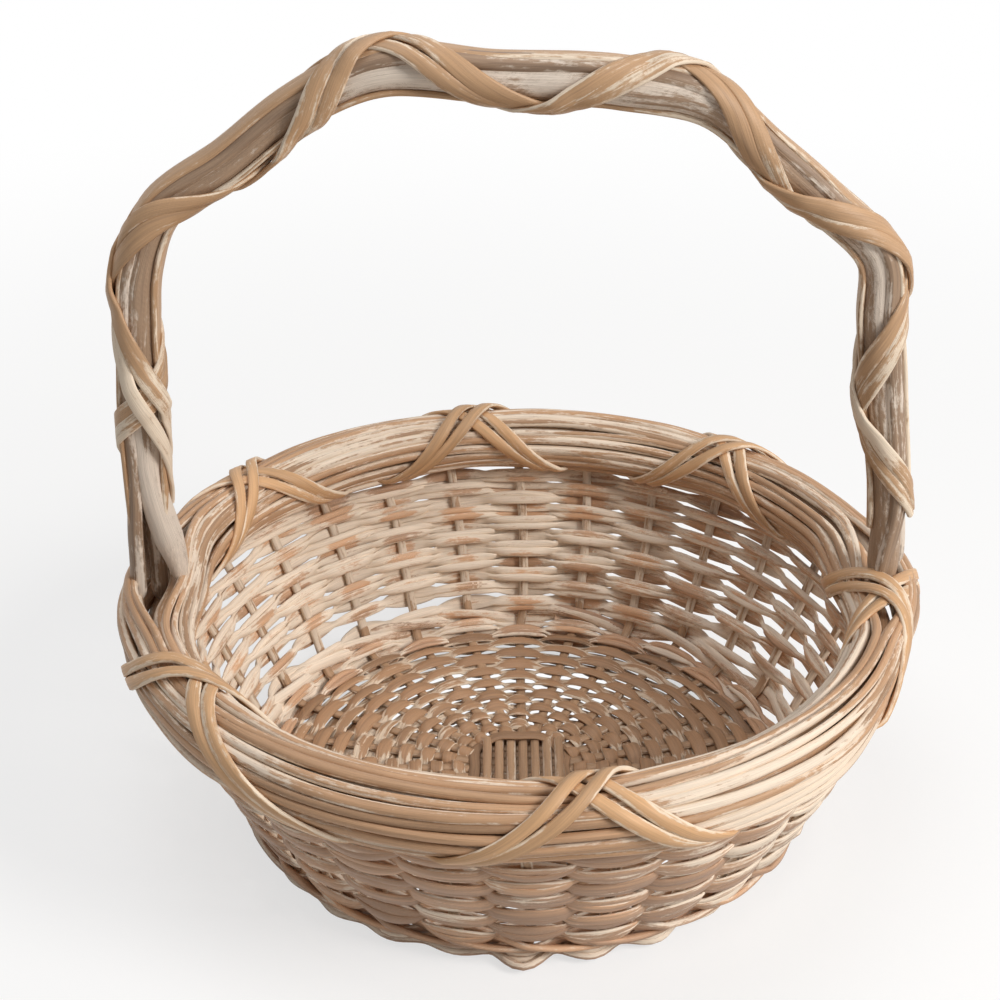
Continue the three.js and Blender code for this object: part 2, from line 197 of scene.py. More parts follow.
def wall_at(length):
    """Radius and height of the wall's middle at a length up from the base's edge, and its ways up and out."""
    length = np.asarray(length, float)
    turn = np.clip(length / CORNER_RADIUS, 0.0, corner_turn)
    flat = np.minimum(length, 0.0)
    straight = np.maximum(length - corner_length, 0.0)
    along = np.stack([np.cos(turn), np.sin(turn)], -1)
    out = np.stack([np.sin(turn), -np.cos(turn)], -1)
    middle = np.stack([BASE_RADIUS + flat, np.full_like(length, corner_height)], -1)
    return middle + out * CORNER_RADIUS + along * straight[..., None], along, out


def round_the_basket(angle, outward, upward):
    """Points or directions at an angle round the basket, from how far outward and how far up they go."""
    return np.stack(np.broadcast_arrays(outward * np.cos(angle), outward * np.sin(angle), upward), -1)


def swayed(path):
    """The path with the bowl's lean: hand-woven, it stands a little further to the right below the rim."""
    height = np.clip(path[:, 2] / RIM_HEIGHT, 0, 1)
    shift = BOWL_SWAY * np.clip(height / 0.15, 0, 1) * np.clip((0.95 - height) / 0.4, 0, 1)
    return path + shift[:, None] * SIDEWAYS


def unit(vectors):
    return vectors / np.maximum(np.linalg.norm(vectors, axis=-1, keepdims=True), 1e-12)


def eased(share):
    """An even run from 0 to 1, made to start and end slowly."""
    return share * share * (3 - 2 * share)


def lengths_along(path):
    """How far each point of a path lies from its start."""
    return np.concatenate([[0.0], np.cumsum(np.linalg.norm(np.diff(path, axis=0), axis=1))])


def a_rod(path, face, half_width, half_thickness, wear_and_shading, rng):
    """One rod: path, facing of its flat side, size, wear with painted light and shade, and a number of its
    own.
    """
    count = len(path)
    ahead = unit(np.gradient(path, axis=0))
    face = np.broadcast_to(np.asarray(face, float), path.shape)
    face = unit(face - ahead * np.sum(face * ahead, axis=1, keepdims=True))
    half_sizes = [np.broadcast_to(size, count) for size in (half_width, half_thickness, 0.0)]
    return {
        "middle": path,
        "face": face,
        "side": np.cross(ahead, face),
        "half_size": np.stack(half_sizes, -1),
        "along": lengths_along(path),
        "wear_and_shading": np.broadcast_to(wear_and_shading, count),
        "rod": np.full(count, rng.uniform(0, ROD_NUMBERS)),
    }


def pointed(path, tip_length, tip_size):
    """How full a rod is along its path, from a cut tip at each end up to its full size."""
    along = lengths_along(path)
    from_tip = np.minimum(along, along[-1] - along) / tip_length
    return tip_size + (1 - tip_size) * np.clip(from_tip, 0, 1) ** 0.6


def strays(rng, places, closed=True):
    """Gives a function for values along places from 0 to 1 that stray smoothly between random ones."""
    def stray(amount, spots=STAKE_COUNT):
        values = rng.uniform(-amount, amount, spots + 1)
        if closed:
            values[-1] = values[0]
        at = np.mod(places, 1.0) * spots if closed else np.clip(places, 0, 1) * spots
        low = np.minimum(np.floor(at).astype(int), spots - 1)
        share = eased(at - low)
        return values[low] * (1 - share) + values[low + 1] * share

    return stray


def give_sockets(tree, inputs, outputs):
    """The inputs and outputs of a node group, as names for each kind of socket."""
    for way, sockets in [("INPUT", inputs), ("OUTPUT", outputs)]:
        for kind, names in sockets.items():
            for name in names:
                tree.interface.new_socket(name, in_out=way, socket_type=f"NodeSocket{kind}")


def vector_node(tree, operation, inputs):
    """The vector that a Vector Math node gives."""
    return add_node(tree, "ShaderNodeVectorMath", inputs, operation=operation).outputs["Vector"]


def rod_tree():
    """Geometry Nodes: sweeps a flat rounded section along each path and keeps where in the rod a point is."""
    tree = bpy.data.node_groups.new("rods_along_paths", "GeometryNodeTree")
    inputs = {"Geometry": ["Paths"], "Int": ["Sides"], "Float": ["Squareness", "Knobbliness", "Knob size"],
              "Material": ["Finish"]}
    give_sockets(tree, inputs, {"Geometry": ["Rods"]})
    given = add_node(tree, "NodeGroupInput").outputs

    def made(kind, inputs, **settings):
        return add_node(tree, kind, inputs, **settings).outputs[0]

    def value(operation, *numbers):
        return number_node(tree, operation, *numbers)

    def scaled(vector, scale):
        return vector_node(tree, "SCALE", {0: vector, "Scale": scale})

    def added(a, b):
        return vector_node(tree, "ADD", {0: a, 1: b})

    def named(name, kind="FLOAT"):
        node = add_node(tree, "GeometryNodeInputNamedAttribute", {"Name": name}, data_type=kind)
        return node.outputs["Attribute"]

    def keep(mesh, name, attribute, kind="FLOAT"):
        return made("GeometryNodeStoreNamedAttribute", {"Geometry": mesh, "Name": name, "Value": attribute},
                    data_type=kind, domain="POINT")

    shape = made("GeometryNodeCurvePrimitiveCircle", {"Resolution": given["Sides"], "Radius": 1.0})
    place = add_node(tree, "ShaderNodeSeparateXYZ", {0: made("GeometryNodeInputPosition", {})}).outputs
    fuller = value("SUBTRACT", 1.0, given["Squareness"])
    for name, coordinate in [("across", place["X"]), ("through", place["Y"])]:
        size = value("POWER", value("ABSOLUTE", coordinate), fuller)
        shape = keep(shape, name, value("MULTIPLY", size, value("SIGN", coordinate)))
    paths = made("GeometryNodeMeshToCurve", {"Mesh": given["Paths"]})
    rods = made("GeometryNodeCurveToMesh", {"Curve": paths, "Profile Curve": shape, "Fill Caps": True})

    half = add_node(tree, "ShaderNodeSeparateXYZ", {0: named("half_size", "FLOAT_VECTOR")}).outputs
    sideways = value("MULTIPLY", named("across"), half["X"])
    outward = value("MULTIPLY", named("through"), half["Y"])
    grain = made("ShaderNodeCombineXYZ", {"X": named("along"), "Y": sideways, "Z": outward})
    rods = keep(rods, "grain", grain, "FLOAT_VECTOR")
    lump_spot = added(grain, scaled((7.3, 3.1, 5.7), named("rod")))
    lumps = made("ShaderNodeTexNoise", {"Vector": lump_spot, "Scale": given["Knob size"], "Detail": 1.0},
                 noise_dimensions="3D")
    swell = value("MULTIPLY", value("SUBTRACT", lumps, 0.5), given["Knobbliness"])
    across = scaled(named("side", "FLOAT_VECTOR"), sideways)
    through = scaled(named("face", "FLOAT_VECTOR"), outward)
    spot = scaled(added(across, through), value("ADD", swell, 1.0))
    spot = added(named("middle", "FLOAT_VECTOR"), spot)
    rods = made("GeometryNodeSetPosition", {"Geometry": rods, "Position": spot})
    rods = made("GeometryNodeSetShadeSmooth", {"Geometry": rods, "Shade Smooth": True})
    rods = made("GeometryNodeRealizeInstances", {"Geometry": rods})
    rods = made("GeometryNodeSetMaterial", {"Geometry": rods, "Material": given["Finish"]})
    add_node(tree, "NodeGroupOutput", {"Rods": rods})
    return tree


ROD_TREE = rod_tree()
ROD_SOCKETS = {item.name: item.identifier for item in ROD_TREE.interface.items_tree if item.in_out == "INPUT"}


def make_piece(name, rods, finish, stands_for, sides=8, squareness=0.35, knobbliness=0.12,
               knob_size=60.0):
    """Sweeps the rods into one plain mesh that rides on the basket and stands for the named CAD nodes."""
    paths = bpy.data.meshes.new(name)
    edges = []
    start = 0
    for rod in rods:
        count = len(rod["middle"])
        edges += [(start + k, start + k + 1) for k in range(count - 1)]
        start += count
    paths.from_pydata(np.concatenate([rod["middle"] for rod in rods]).tolist(), edges, [])
    for key in rods[0]:
        values = np.concatenate([rod[key] for rod in rods]).astype(np.float32)
        kind, field = ("FLOAT_VECTOR", "vector") if values.ndim == 2 else ("FLOAT", "value")
        paths.attributes.new(key, kind, "POINT").data.foreach_set(field, values.ravel())
    piece = add_object(name, paths)
    sweep = piece.modifiers.new("sweep", "NODES")
    sweep.node_group = ROD_TREE
    for socket, setting in [("Sides", sides), ("Squareness", squareness), ("Knobbliness", knobbliness),
                            ("Knob size", knob_size), ("Finish", finish)]:
        sweep[ROD_SOCKETS[socket]] = setting
    bpy.context.view_layer.update()
    graph = bpy.context.evaluated_depsgraph_get()
    solid = bpy.data.meshes.new_from_object(piece.evaluated_get(graph), preserve_all_data_layers=True,
                                            depsgraph=graph)
    piece.modifiers.remove(sweep)
    piece.data = solid
    solid.name = name
    bpy.data.meshes.remove(paths)
    for key in ["middle", "face", "side", "half_size", "along"]:
        if key in solid.attributes:
            solid.attributes.remove(solid.attributes[key])
    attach(piece, "root")
    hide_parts(*stands_for)


FIBRE_GRAIN = (45.0, 2600.0, 2600.0)
STREAK_GRAIN = (22.0, 520.0, 520.0)
PATCH_GRAIN = (30.0, 150.0, 150.0)
FLAKE_GRAIN = (230.0, 640.0, 640.0)
OWN_WASH = 0.3
PATCH_WASH = 1.1
FLAKE_WASH = 0.8
WASH_EDGE = (0.38, 0.67)
WASH_COVER = 0.92
BARE_ROUGHNESS = 0.46
WASH_ROUGHER = 0.25
BUMP_HEIGHT = 0.0006


def willow_surface():
    """Shader group: fibrous willow, worn tan where raised, whitewashed where low, with painted light and
    shade.
    """
    tree = bpy.data.node_groups.new("willow_surface", "ShaderNodeTree")
    inputs = {"Color": ["Bare", "Deep", "Wash"],
              "Float": ["Washed", "Wear", "Edges", "Fibres", "Streaks", "Skin"]}
    give_sockets(tree, inputs, {"Color": ["Colour"], "Float": ["Roughness"], "Vector": ["Normal"]})
    given = add_node(tree, "NodeGroupInput").outputs

    def value(operation, *numbers):
        return number_node(tree, operation, *numbers)

    def shifted(amount, field, weight):
        """The amount, moved up where the field is over a half and down where it is under."""
        return value("MULTIPLY_ADD", value("SUBTRACT", field, 0.5), weight, amount)

    def attribute(name, output="Fac"):
        return add_node(tree, "ShaderNodeAttribute", attribute_name=name).outputs[output]

    def noise(grain, detail, roughness=0.55):
        stretched = vector_node(tree, "MULTIPLY", {0: attribute("grain", "Vector"), 1: grain})
        apart = vector_node(tree, "SCALE", {0: (13.7, 5.3, 9.1), "Scale": attribute("rod")})
        place = vector_node(tree, "ADD", {0: stretched, 1: apart})
        return add_node(tree, "ShaderNodeTexNoise", {"Vector": place, "Scale": 1.0, "Detail": detail,
                                                     "Roughness": roughness}).outputs[0]

    def mixed(share, a, b):
        return add_node(tree, "ShaderNodeMix", {0: share, 6: a, 7: b}, data_type="RGBA").outputs[2]

    fibres = noise(FIBRE_GRAIN, 2.0)
    streaks = noise(STREAK_GRAIN, 3.0, 0.6)
    patches = noise(PATCH_GRAIN, 2.0)
    flakes = noise(FLAKE_GRAIN, 3.0, 0.65)
    own = add_node(tree, "ShaderNodeTexWhiteNoise", {"W": attribute("rod")}, noise_dimensions="1D")
    own = own.outputs["Value"]
    edge = value("POWER", value("ABSOLUTE", attribute("across")), 3.0)
    # The rods' outward face gets less wash, fewer pale edges and a deeper tone: painted shade.
    outside_shade = value("MULTIPLY", value("MAXIMUM", attribute("through"), 0.0), given["Skin"])
    # The wear value also carries painted light and shade, so the wash follows them too.
    low = value("SUBTRACT", 0.6, attribute("wear_and_shading"))
    edging = value("MULTIPLY", given["Edges"], value("MAXIMUM", value("MULTIPLY_ADD", outside_shade, -2.2, 1.0), 0.0))
    amount = value("MULTIPLY_ADD", low, given["Wear"], given["Washed"])
    amount = value("MULTIPLY_ADD", edge, edging, amount)
    amount = shifted(amount, own, OWN_WASH)
    amount = shifted(value("SUBTRACT", amount, outside_shade), patches, PATCH_WASH)
    amount = shifted(amount, streaks, given["Streaks"])
    amount = shifted(amount, flakes, FLAKE_WASH)
    wash = smooth_range(tree, amount, *WASH_EDGE)
    tone = shifted(value("MULTIPLY_ADD", streaks, 1.2, -0.15), own, 0.7)
    tone = value("MULTIPLY_ADD", outside_shade, -1.3, tone)
    wood = mixed(smooth_range(tree, tone, -0.2, 0.75), given["Deep"], given["Bare"])
    fine = value("MULTIPLY_ADD", smooth_range(tree, fibres, 0.3, 0.7), 0.17, 0.89)
    colour = mixed(value("MULTIPLY", wash, WASH_COVER), wood, given["Wash"])
    colour = vector_node(tree, "SCALE", {0: colour, "Scale": fine})
    height = value("MULTIPLY_ADD", streaks, 0.8, value("MULTIPLY", wash, 0.25))
    height = value("MULTIPLY_ADD", fibres, 0.5, height)
    bump = add_node(tree, "ShaderNodeBump",
                    {"Strength": given["Fibres"], "Distance": BUMP_HEIGHT, "Height": height})
    shine = value("MULTIPLY_ADD", wash, WASH_ROUGHER, BARE_ROUGHNESS)
    add_node(tree, "NodeGroupOutput", {"Colour": colour, "Roughness": shine, "Normal": bump.outputs[0]})
    return tree


WILLOW_SURFACE = willow_surface()


def willow(name, bare, deep, wash, washed, wear, edges, fibres=0.55, streaks=1.0, outside_shade=0.0):
    """A willow finish: its bare, deep and wash colours, how much wash lies on it and where it has worn."""
    finish = empty_finish(name)
    settings = {"Bare": (*bare, 1), "Deep": (*deep, 1), "Wash": (*wash, 1), "Washed": washed, "Wear": wear,
                "Edges": edges, "Fibres": fibres, "Streaks": streaks, "Skin": outside_shade}
    surface = add_node(finish.node_tree, "ShaderNodeGroup", settings, node_tree=WILLOW_SURFACE).outputs
    shader = add_node(finish.node_tree, "ShaderNodeBsdfPrincipled",
                      {"Base Color": surface["Colour"], "Roughness": surface["Roughness"],
                       "Normal": surface["Normal"], "Specular IOR Level": 0.35})
    add_node(finish.node_tree, "ShaderNodeOutputMaterial", {"Surface": shader.outputs[0]})
    return finish


def stick_half(angle):
    """Path and facing of one half of a stick, from where it has fanned out to its tip in the rim."""
    flat = np.linspace(FAN_RADIUS, BASE_RADIUS - BEND_GAP, 20)
    flat = np.stack([flat, np.full_like(flat, STICK_LEVEL)], -1)
    rise, _, out = wall_at(np.linspace(0.0, corner_length + wall_length, 50))
    top = [[RIM_RADIUS, WALL_TOP + TIP_BEND], [RIM_RADIUS, TIP_HEIGHT]]
    middle = np.concatenate([flat, rise, top])
    facing = np.concatenate([np.tile([0.0, -1.0], (len(flat), 1)), out, [[1.0, 0.0], [1.0, 0.0]]])
    return round_the_basket(angle, *middle.T), round_the_basket(angle, *facing.T)


rng = np.random.default_rng(7)
stake_finish = willow("stake_willow", bare=(0.52, 0.33, 0.20), deep=(0.34, 0.21, 0.125),
                      wash=(0.80, 0.68, 0.55), washed=0.38, wear=0.8, edges=0.5)
for way, level, turned in [("crosswise", -LAYER_OFFSET, 0.0), ("lengthwise", LAYER_OFFSET, math.pi / 2)]:
    crosswise = way == "crosswise"
    for index in range(-3, 4):
        fan = index * STAKE_PITCH if crosswise else -index * STAKE_PITCH
        far, far_face = stick_half(turned + fan)
        near, near_face = stick_half(turned + math.pi - fan)
        reach = np.linspace(-SLATH_HALF, SLATH_HALF, 8)
        offset = np.full_like(reach, index * SLATH_PITCH)
        height = np.full_like(reach, STICK_LEVEL + level)
        middle = np.stack([reach, offset, height] if crosswise else [offset, reach, height], -1)
        down = np.tile([0.0, 0.0, -1.0], (len(reach), 1))
        path = np.concatenate([near[::-1], middle, far])
        facing = np.concatenate([near_face[::-1], down, far_face])
        in_slath = np.clip((SLATH_EDGE - np.linalg.norm(path[:, :2], axis=1)) / SLATH_FADE, 0, 1)
        wander = strays(rng, np.linspace(0, 1, len(path)), closed=False)(0.0005, 9) * (1 - in_slath)
        path = path + unit(np.cross(np.gradient(path, axis=0), facing)) * wander[:, None]
        half_width = STICK_HALF_WIDTH + (0.0004 if crosswise else -0.0002) * in_slath
        in_base = np.clip((BASE_TOP - path[:, 2]) / BASE_FADE, 0, 1)
        half_thickness = STICK_HALF_THICKNESS - 0.0001 * in_slath - 0.0004 * in_base * (1 - in_slath)
        wear_and_shading = np.where(path[:, 2] > WALL_START, STAKE_WEAR, SPOKE_WEAR)
        half_width = half_width * pointed(path, *STICK_TIP)
        rods = [a_rod(swayed(path), facing, half_width, half_thickness, wear_and_shading, rng)]
        make_piece(f"willow_stick_{way}_{index + 4}", rods, stake_finish,
                   [f"{way}_stick_{index + 4}"], knobbliness=0.2)

# Base weave: flat brown splints go over one spoke and under the next, round after round, to the edge.
# Two splints bind the crossed sticks first. Small holes are left, most of them behind the middle.
BASE_ROUNDS = 17
FIRST_ROUND = 0.0290
LAST_ROUND = 0.1165
BASE_BANDS = 4
SPLINT_HALF_WIDTH = 0.0031
SPLINT_HALF_THICKNESS = 0.0006
SPLINT_SWING = 0.0019
SPLINT_TIP = (0.004, 0.5)
HOLED_ROUNDS = (0.034, 0.085)
HOLE_NARROWING = 0.0026
OUTER_ROUNDS = 0.110
OUTER_NARROWING = 0.0006
BINDING_RADII = (0.0232, 0.0238)
BINDING_OVER = (0.0041, -0.0005)
BINDING_UNDER = (-0.0040, 0.0005)
BINDING_HALF_WIDTHS = (0.0033, 0.0028)


def near_angle(angle, centre, half_width):
    """1 at a centre in degrees round the basket, falling smoothly to 0 at half_width, in radians, from it."""
    apart = np.abs((angle - math.radians(centre) + math.pi) % (2 * math.pi) - math.pi) / half_width
    return eased(np.clip(1 - apart, 0, 1))


def once_round(rng, lap, per_stake):
    """Angles once round the basket from a stake picked at random, run on at both ends by a lap in pitches."""
    start = rng.integers(0, STAKE_COUNT)
    return (start + np.linspace(-lap, STAKE_COUNT + lap, STAKE_COUNT * per_stake)) * STAKE_PITCH


def over_and_under(angle, number):
    """A wave from 1 at every other stake to -1 at those between, turned about from one row to the next."""
    return np.cos(angle * STAKE_COUNT / 2 + number * math.pi)


def base_round(number, radius, rng):
    """One round of splint over and under the spokes of the base."""
    angle = once_round(rng, 0.35, 10)
    stray = strays(rng, angle / (2 * math.pi))
    wave = over_and_under(angle, number)
    full = np.abs(wave) ** 0.6
    over = np.clip(wave, 0, 1) ** 0.6
    under = np.clip(-wave, 0, 1) ** 0.6
    at = radius + stray(0.0005)
    level = STICK_LEVEL + SPLINT_SWING * np.sign(wave) * full + stray(0.0002)
    roll = stray(0.26) + 0.22 * (1 - full) - 0.10
    path = round_the_basket(angle, at, level)
    face = round_the_basket(angle, np.sin(roll), np.cos(roll))
    behind = near_angle(angle, 90, 0.95) ** 0.5 * (HOLED_ROUNDS[0] < radius < HOLED_ROUNDS[1])
    holes = behind * np.clip(0.35 + stray(1.5), 0, 1)
    half_width = SPLINT_HALF_WIDTH + 0.0005 * over + 0.0013 * under - HOLE_NARROWING * holes * (1 - full)
    half_width = half_width - OUTER_NARROWING * (radius > OUTER_ROUNDS)
    half_width = half_width * (1 + stray(0.12)) * pointed(path, *SPLINT_TIP)
    # Less wash on the right of the base, in the right wall's shadow: a painted shadow.
    wear_and_shading = over * (1 + stray(0.5)) + stray(0.25) + 0.15 + 0.35 * near_angle(angle, 0, 1.5)
    return a_rod(path, face, half_width, SPLINT_HALF_THICKNESS, wear_and_shading, rng)


rng = np.random.default_rng(11)
base_finish = willow("base_splint", bare=(0.47, 0.275, 0.155), deep=(0.24, 0.145, 0.085),
                     wash=(0.82, 0.68, 0.53), washed=0.20, wear=0.65, edges=0.50, streaks=2.0)
bands = [[] for _ in range(BASE_BANDS)]
for number, radius in enumerate(np.linspace(FIRST_ROUND, LAST_ROUND, BASE_ROUNDS)):
    bands[number * BASE_BANDS // BASE_ROUNDS].append(base_round(number, radius, rng))
for radius, over, under, half_width in zip(BINDING_RADII, BINDING_OVER, BINDING_UNDER, BINDING_HALF_WIDTHS):
    angle = np.linspace(0.3, 2 * math.pi + 0.5, 200)
    square = radius * (1 + 0.10 * np.cos(angle * 4 + math.pi))
    level = STICK_LEVEL + under + (over - under) * eased(0.5 - 0.5 * np.cos(angle * 2))
    path = round_the_basket(angle, square, level)
    half_width = half_width * pointed(path, *SPLINT_TIP)
    bands[0].append(a_rod(path, (0, 0, 1), half_width, SPLINT_HALF_THICKNESS, 1.0, rng))
for number, rods in enumerate(bands):
    make_piece(f"base_splints_{number + 1}", rods, base_finish, [f"base_band_{number + 1}"],
               squareness=0.45, knobbliness=0.15, knob_size=90.0)

# Side weave: pairs of flat willow rods go over one stake and under the next, row upon row.
# Each pair lies flat where it bulges over a stake, and turns on edge where it slips through between two.
ROD_HALF_THICKNESS = 0.00085
ROD_GAP = 0.0005
ROD_TILT = 0.95
ROD_TIP = (0.006, 0.55)
THICKER_INSIDE = 0.0005
SHINGLE = 0.0013
SHINGLE_LESS = 0.0006
ROW_DRIFT = 0.0007
WIDE_ROD = 1.10
NARROW_ROD = 0.92
LOWEST_PITCH = 1.16
HIGHEST_PITCH = 0.84
TOP_GAP = 0.0025
PARTED_BY = {0: -0.0018, 1: 0.0018, 2: 0.0009}


def openness(angle, number):
    """How far the weave is left open: right and left all the way up, low at back left, a little in front."""
    right = near_angle(angle, 18, 1.35)
    left = 0.6 * near_angle(angle, 170, 0.75)
    low_left = near_angle(angle, 135, 0.95) * (number < 3)
    near_left = near_angle(angle, 226, 0.35) * (0 < number < 8)
    return np.clip(right + left + low_left + near_left, 0, 1)


def tilted(out, towards, roll):
    """A facing turned by a roll from outward towards another direction."""
    return out * np.cos(roll)[:, None] + towards * np.sin(roll)[:, None]


def woven_row(number, length, pitch, rng, corner_shade=0.0):
    """The rods of one row: a pair that goes round the wall outside one stake and inside the next."""
    rods = []
    lean_way = rng.choice([-1.0, 1.0])
    wide_one = rng.integers(0, 2)
    common_seed, drift_seed = rng.integers(0, 1 << 30, 2)
    for strand in range(2):
        angle = once_round(rng, 0.42, 12)
        share = angle / (2 * math.pi)
        stray = strays(rng, share)
        wave = over_and_under(angle, number)
        full = np.abs(wave) ** 0.7
        outer = (0.5 + 0.5 * wave) ** 1.3
        outside = np.clip(wave, 0, 1) ** 0.45
        inside = np.clip(-wave, 0, 1) ** 0.6
        closed = np.clip(1.6 * near_angle(angle, 265, 2.0), 0, 1) * (1 - openness(angle, number))
        open_here = openness(angle, number) * (1 - 0.55 * full)
        crossing = closed * (1 - full)

        side = strand - 0.5
        common = strays(np.random.default_rng(common_seed), share)(0.22, STAKE_COUNT * 2)
        drift = strays(np.random.default_rng(drift_seed), share)(ROW_DRIFT)
        spread = pitch * (0.28 + 0.36 * outer + 0.22 * inside) * (1 + common)
        spread = spread * (1 - 0.85 * open_here) * (1 - 0.5 * crossing)
        parted = PARTED_BY.get(number, 0) * near_angle(angle, 130, 1.1)
        point, along, out = wall_at(length + side * spread + drift + parted + stray(0.0003, STAKE_COUNT * 2))
        reach = (STICK_HALF_THICKNESS + ROD_HALF_THICKNESS + ROD_GAP) * (1 + stray(0.15))
        shingle = side * lean_way * (SHINGLE - SHINGLE_LESS * outside) * full * (1 - 0.5 * closed)
        swing = reach * np.sign(wave) * np.abs(wave) ** 0.6 + (shingle + stray(0.0002))
        roll = lean_way * ROD_TILT * (1 - full) ** 1.3 * (1 - 0.75 * closed) + stray(0.16)
        path = swayed(round_the_basket(angle, *(point + out * swing[:, None]).T))
        facing = round_the_basket(angle, *tilted(out, along, roll).T)

        taper = pointed(path, *ROD_TIP)
        breadth = pitch * (0.25 + 0.25 * outer + 0.08 * inside + 0.06 * crossing)
        breadth = breadth * (WIDE_ROD if strand == wide_one else NARROW_ROD)
        half_width = breadth * taper * (1 + stray(0.14)) * (1 - 0.45 * open_here)
        half_thickness = (ROD_HALF_THICKNESS + THICKER_INSIDE * inside) * taper

        # Bulges outside: worn tan, browner as painted shade, and paler at the lit right front as painted
        # light.
        outside_wear_and_shading = 1.1 - 0.75 * near_angle(angle, 325, 0.9)
        wear_and_shading = (0.9 * inside + outside_wear_and_shading * outside) * (1 + stray(0.6))
        wear_and_shading = wear_and_shading + near_angle(angle, 110, 1.0) * (0.38 * inside - 0.36)
        # On the right, where the inner wall lies in shade, the rods get less wash: painted shade.
        wear_and_shading = wear_and_shading + 0.75 * near_angle(angle, 22, 1.25) * (0.98 + stray(0.35) - wear_and_shading)
        # Closed weave is set to one wash level, paler at the lit right front as painted light.
        in_front = 1.0 - near_angle(angle, 330, 0.9) + stray(0.5, STAKE_COUNT * 2)
        wear_and_shading = wear_and_shading + closed * (in_front - wear_and_shading) + corner_shade
        rods.append(a_rod(path, facing, half_width, half_thickness, wear_and_shading, rng))
    return rods


rng = np.random.default_rng(23)
# The weave's outward face is painted darker, as shade on the outside of the wall.
weave_finish = willow("weave_willow", bare=(0.77, 0.475, 0.29), deep=(0.43, 0.27, 0.18),
                      wash=(0.93, 0.805, 0.665), washed=0.70, wear=0.66, edges=0.22, streaks=1.1, outside_shade=0.40)
side_rows = sorted(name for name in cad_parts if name.startswith("side_row_"))
pitches = np.linspace(LOWEST_PITCH, HIGHEST_PITCH, len(side_rows))
pitches = pitches / pitches.sum() * (wall_length - TOP_GAP)
for number, (node, pitch, top) in enumerate(zip(side_rows, pitches, np.cumsum(pitches))):
    rods = woven_row(number, corner_length + top - pitch / 2, pitch, rng)
    make_piece(f"weave_{node}", rods, weave_finish, [node], squareness=0.40)

# Foot: three stouter rods are twined round the sticks where they turn up, outside two and inside one, and two
# rounds of the side weave turn up with them. The basket stands on three thin rods laid under these and pulled
# so tight that they bump at each stake.
TWINED_HALF_WIDTH = 0.0029
TWINED_HALF_THICKNESS = 0.0015
TWINED_GAP = 0.0004
TWINED_RISE = 0.0026
TURNED_UP_PITCH = 0.0072
FOOT_RINGS = [(0.1215, 0.0030), (0.1266, 0.0034), (0.1250, 0.0054)]
RING_BUMP = 0.0045
RING_HALF_WIDTH = 0.0031
RING_HALF_THICKNESS = 0.0017
RING_TIP = (0.006, 0.6)


def twined_round(length, rng):
    """Three rods that each go outside two stakes and inside the next, one stake apart from each other."""
    rods = []
    for strand in range(3):
        angle = once_round(rng, 0.4, 12)
        stray = strays(rng, angle / (2 * math.pi))
        third = 2 * math.pi * (angle / STAKE_PITCH + strand) / 3
        swing = np.minimum(0.333 - 1.333 * np.cos(third), 0.9)
        swing = swing * (STICK_HALF_THICKNESS + TWINED_HALF_THICKNESS + TWINED_GAP)
        point, along, out = wall_at(length + TWINED_RISE * np.sin(third + 0.4) + stray(0.0006))
        roll = 0.5 * np.cos(third + 0.4) + stray(0.2)
        path = swayed(round_the_basket(angle, *(point + out * swing[:, None]).T))
        facing = round_the_basket(angle, *tilted(out, along, roll).T)
        half_width = TWINED_HALF_WIDTH * pointed(path, *ROD_TIP) * (1 + stray(0.16))
        wear_and_shading = 0.75 + 0.4 * np.clip(-np.cos(third), 0, 1) + stray(0.4)
        # Paler on the left, lit by the main lamp, as painted light; browner at the front.
        wear_and_shading = wear_and_shading - 0.5 * near_angle(angle, 170, 0.8) + 0.4 * near_angle(angle, 262, 1.2)
        rods.append(a_rod(path, facing, half_width, TWINED_HALF_THICKNESS, wear_and_shading, rng))
    return rods


corner_rods = twined_round(corner_length * 0.88, rng)
# The turned-up rows low in the corner get less wash: painted shade in the crease.
corner_rods += woven_row(1, corner_length * 0.42, TURNED_UP_PITCH, rng, corner_shade=0.3)
corner_rods += woven_row(0, corner_length * 0.04, TURNED_UP_PITCH, rng, corner_shade=0.6)
make_piece("corner_rods", corner_rods, weave_finish, ["corner_row"])
foot_rods = []
for strand, (radius, height) in enumerate(FOOT_RINGS):
    angle = strand * 2.1 + np.linspace(0, 2 * math.pi + 0.06, STAKE_COUNT * 10)
    stray = strays(rng, angle / (2 * math.pi))
    front = near_angle(angle, 275, 1.1) + 0.5 * near_angle(angle, 270, 0.2)
    bump = (0.5 + 0.5 * np.cos(angle * STAKE_COUNT)) * (1 + stray(0.4)) * (0.45 + 0.75 * front)
    level = height + 0.0002 * np.cos(angle * STAKE_COUNT * 0.5 + strand)
    path = round_the_basket(angle, radius + RING_BUMP * bump, level)
    facing = round_the_basket(angle, 0.6, -0.8)
    half_thickness = RING_HALF_THICKNESS * pointed(path, *RING_TIP)
    foot_rods.append(a_rod(path, facing, RING_HALF_WIDTH, half_thickness, 0.5, rng))
make_piece("foot_rods", foot_rods, weave_finish, ["foot_ring"])

